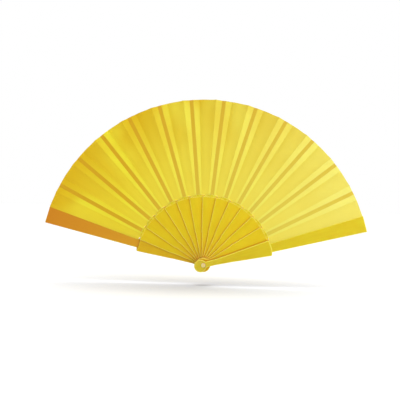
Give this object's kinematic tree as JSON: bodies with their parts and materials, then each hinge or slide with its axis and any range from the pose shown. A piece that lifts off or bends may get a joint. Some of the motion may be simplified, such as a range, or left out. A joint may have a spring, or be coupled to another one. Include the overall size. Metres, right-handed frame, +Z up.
{
  "type": "folding hand fan",
  "caption": "Folding hand fan with thin moulded plastic sticks between two guards on one rivet, and a pleated cloth leaf that folds flat between them.",
  "frame": {"origin": "on the rivet's axis, halfway through the stack of sticks, where the hand holds the fan", "axes": "+Z up the middle of the open leaf, +X towards the front guard, +Y from the front of the fan to its back, along the rivet"},
  "size_m": [0.4246, 0.0207, 0.2273],
  "materials": {
    "sticks": "moulded, satin",
    "guards": "moulded, satin",
    "rivet": "moulded, polished",
    "leaf": "plain-woven polyester, heat-set pleats"
  },
  "bodies": {
    "front_guard": {"front_guard": "guards", "leaf_glued_00": "leaf", "rivet_pin": "rivet", "rivet_cap": "rivet"},
    "stick_01": {"stick_01": "sticks", "leaf_glued_01": "leaf", "leaf_fold_01": "leaf"},
    "stick_02": {"stick_02": "sticks", "leaf_glued_02": "leaf", "leaf_fold_02": "leaf"},
    "stick_03": {"stick_03": "sticks", "leaf_glued_03": "leaf", "leaf_fold_03": "leaf"},
    "stick_04": {"stick_04": "sticks", "leaf_glued_04": "leaf", "leaf_fold_04": "leaf"},
    "stick_05": {"stick_05": "sticks", "leaf_glued_05": "leaf", "leaf_fold_05": "leaf"},
    "stick_06": {"stick_06": "sticks", "leaf_glued_06": "leaf", "leaf_fold_06": "leaf"},
    "stick_07": {"stick_07": "sticks", "leaf_glued_07": "leaf", "leaf_fold_07": "leaf"},
    "stick_08": {"stick_08": "sticks", "leaf_glued_08": "leaf", "leaf_fold_08": "leaf"},
    "stick_09": {"stick_09": "sticks", "leaf_glued_09": "leaf", "leaf_fold_09": "leaf"},
    "stick_10": {"stick_10": "sticks", "leaf_glued_10": "leaf", "leaf_fold_10": "leaf"},
    "stick_11": {"stick_11": "sticks", "leaf_glued_11": "leaf", "leaf_fold_11": "leaf"},
    "stick_12": {"stick_12": "sticks", "leaf_glued_12": "leaf", "leaf_fold_12": "leaf"},
    "back_guard": {"back_guard": "guards", "leaf_glued_13": "leaf", "leaf_fold_13": "leaf"}
  },
  "joints": [
    {"name": "fold_01", "type": "hinge", "parent": "front_guard", "child": "stick_01", "pos_m": [0, 0, 0], "axis": [0, 1, 0], "range_deg": [0, 11.39], "deforming": ["leaf_fold_01"]},
    {"name": "fold_02", "type": "hinge", "parent": "stick_01", "child": "stick_02", "pos_m": [0, 0, 0], "axis": [0, 1, 0], "range_deg": [0, 11.39], "deforming": ["leaf_fold_02"]},
    {"name": "fold_03", "type": "hinge", "parent": "stick_02", "child": "stick_03", "pos_m": [0, 0, 0], "axis": [0, 1, 0], "range_deg": [0, 11.39], "deforming": ["leaf_fold_03"]},
    {"name": "fold_04", "type": "hinge", "parent": "stick_03", "child": "stick_04", "pos_m": [0, 0, 0], "axis": [0, 1, 0], "range_deg": [0, 11.39], "deforming": ["leaf_fold_04"]},
    {"name": "fold_05", "type": "hinge", "parent": "stick_04", "child": "stick_05", "pos_m": [0, 0, 0], "axis": [0, 1, 0], "range_deg": [0, 11.39], "deforming": ["leaf_fold_05"]},
    {"name": "fold_06", "type": "hinge", "parent": "stick_05", "child": "stick_06", "pos_m": [0, 0, 0], "axis": [0, 1, 0], "range_deg": [0, 11.39], "deforming": ["leaf_fold_06"]},
    {"name": "fold_07", "type": "hinge", "parent": "stick_06", "child": "stick_07", "pos_m": [0, 0, 0], "axis": [0, 1, 0], "range_deg": [0, 11.39], "deforming": ["leaf_fold_07"]},
    {"name": "fold_08", "type": "hinge", "parent": "stick_07", "child": "stick_08", "pos_m": [0, 0, 0], "axis": [0, 1, 0], "range_deg": [0, 11.39], "deforming": ["leaf_fold_08"]},
    {"name": "fold_09", "type": "hinge", "parent": "stick_08", "child": "stick_09", "pos_m": [0, 0, 0], "axis": [0, 1, 0], "range_deg": [0, 11.39], "deforming": ["leaf_fold_09"]},
    {"name": "fold_10", "type": "hinge", "parent": "stick_09", "child": "stick_10", "pos_m": [0, 0, 0], "axis": [0, 1, 0], "range_deg": [0, 11.39], "deforming": ["leaf_fold_10"]},
    {"name": "fold_11", "type": "hinge", "parent": "stick_10", "child": "stick_11", "pos_m": [0, 0, 0], "axis": [0, 1, 0], "range_deg": [0, 11.39], "deforming": ["leaf_fold_11"]},
    {"name": "fold_12", "type": "hinge", "parent": "stick_11", "child": "stick_12", "pos_m": [0, 0, 0], "axis": [0, 1, 0], "range_deg": [0, 11.39], "deforming": ["leaf_fold_12"]},
    {"name": "fold_13", "type": "hinge", "parent": "stick_12", "child": "back_guard", "pos_m": [0, 0, 0], "axis": [0, 1, 0], "range_deg": [0, 11.39], "deforming": ["leaf_fold_13"]}
  ],
  "couplings": [
    {"joint": "fold_02", "follows": "fold_01", "ratio": 1},
    {"joint": "fold_03", "follows": "fold_01", "ratio": 1},
    {"joint": "fold_04", "follows": "fold_01", "ratio": 1},
    {"joint": "fold_05", "follows": "fold_01", "ratio": 1},
    {"joint": "fold_06", "follows": "fold_01", "ratio": 1},
    {"joint": "fold_07", "follows": "fold_01", "ratio": 1},
    {"joint": "fold_08", "follows": "fold_01", "ratio": 1},
    {"joint": "fold_09", "follows": "fold_01", "ratio": 1},
    {"joint": "fold_10", "follows": "fold_01", "ratio": 1},
    {"joint": "fold_11", "follows": "fold_01", "ratio": 1},
    {"joint": "fold_12", "follows": "fold_01", "ratio": 1},
    {"joint": "fold_13", "follows": "fold_01", "ratio": 1}
  ]
}
